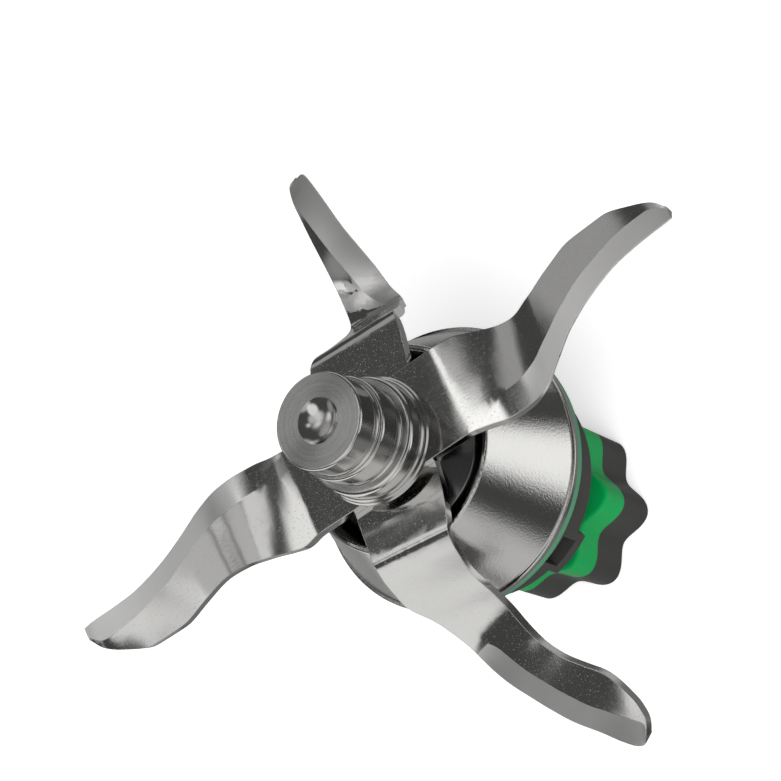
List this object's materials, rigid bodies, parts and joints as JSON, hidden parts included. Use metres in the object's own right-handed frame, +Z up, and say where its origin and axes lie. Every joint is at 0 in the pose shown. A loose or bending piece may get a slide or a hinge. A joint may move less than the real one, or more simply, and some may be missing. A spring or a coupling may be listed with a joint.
{
  "type": "blender blade assembly",
  "caption": "Crossed steel blades on a sealed bearing spindle, with a conical steel skirt, a locking base and a lobed drive star.",
  "frame": {"origin": "centre of the drive star's underside, on the shaft's axis", "axes": "+Z up the shaft to the cap nut, +X along the upper blade strip"},
  "size_m": [0.1284, 0.1241, 0.0897],
  "materials": {
    "blade_steel": "ground and brushed",
    "turned_steel": "turned",
    "polished_steel": "polished",
    "bearing_steel": "ground",
    "green_plastic": "semi-gloss moulded",
    "dark_plastic": "fine-grained moulded",
    "green_rubber": "matte",
    "black_rubber": "matte",
    "dark_steel": "polished and darkened"
  },
  "bodies": {
    "housing": {"skirt": "polished_steel", "seal_ring": "green_rubber", "carrier": "dark_plastic", "sleeve": "turned_steel", "low_outer_race": "bearing_steel", "low_balls": "bearing_steel", "low_cage": "bearing_steel", "high_outer_race": "bearing_steel", "high_balls": "bearing_steel", "high_cage": "bearing_steel", "outer_spacer": "bearing_steel", "bore_clip": "bearing_steel", "shaft_seal": "black_rubber", "garter_spring": "bearing_steel"},
    "blade_rotor": {"shaft": "turned_steel", "star_coupling": "dark_plastic", "star_collar": "green_plastic", "drive_nut": "turned_steel", "shaft_clip": "bearing_steel", "low_inner_race": "bearing_steel", "inner_spacer": "bearing_steel", "high_inner_race": "bearing_steel", "wear_sleeve": "turned_steel", "flinger": "dark_steel", "lower_blades": "blade_steel", "upper_blades": "blade_steel", "wide_washer": "turned_steel", "spring_washer": "turned_steel", "cap_nut": "turned_steel"}
  },
  "joints": [
    {"name": "blade_spin", "type": "hinge", "parent": "housing", "child": "blade_rotor", "pos_m": [0, 0, 0.04], "axis": [0, 0, 1], "continuous": true}
  ]
}
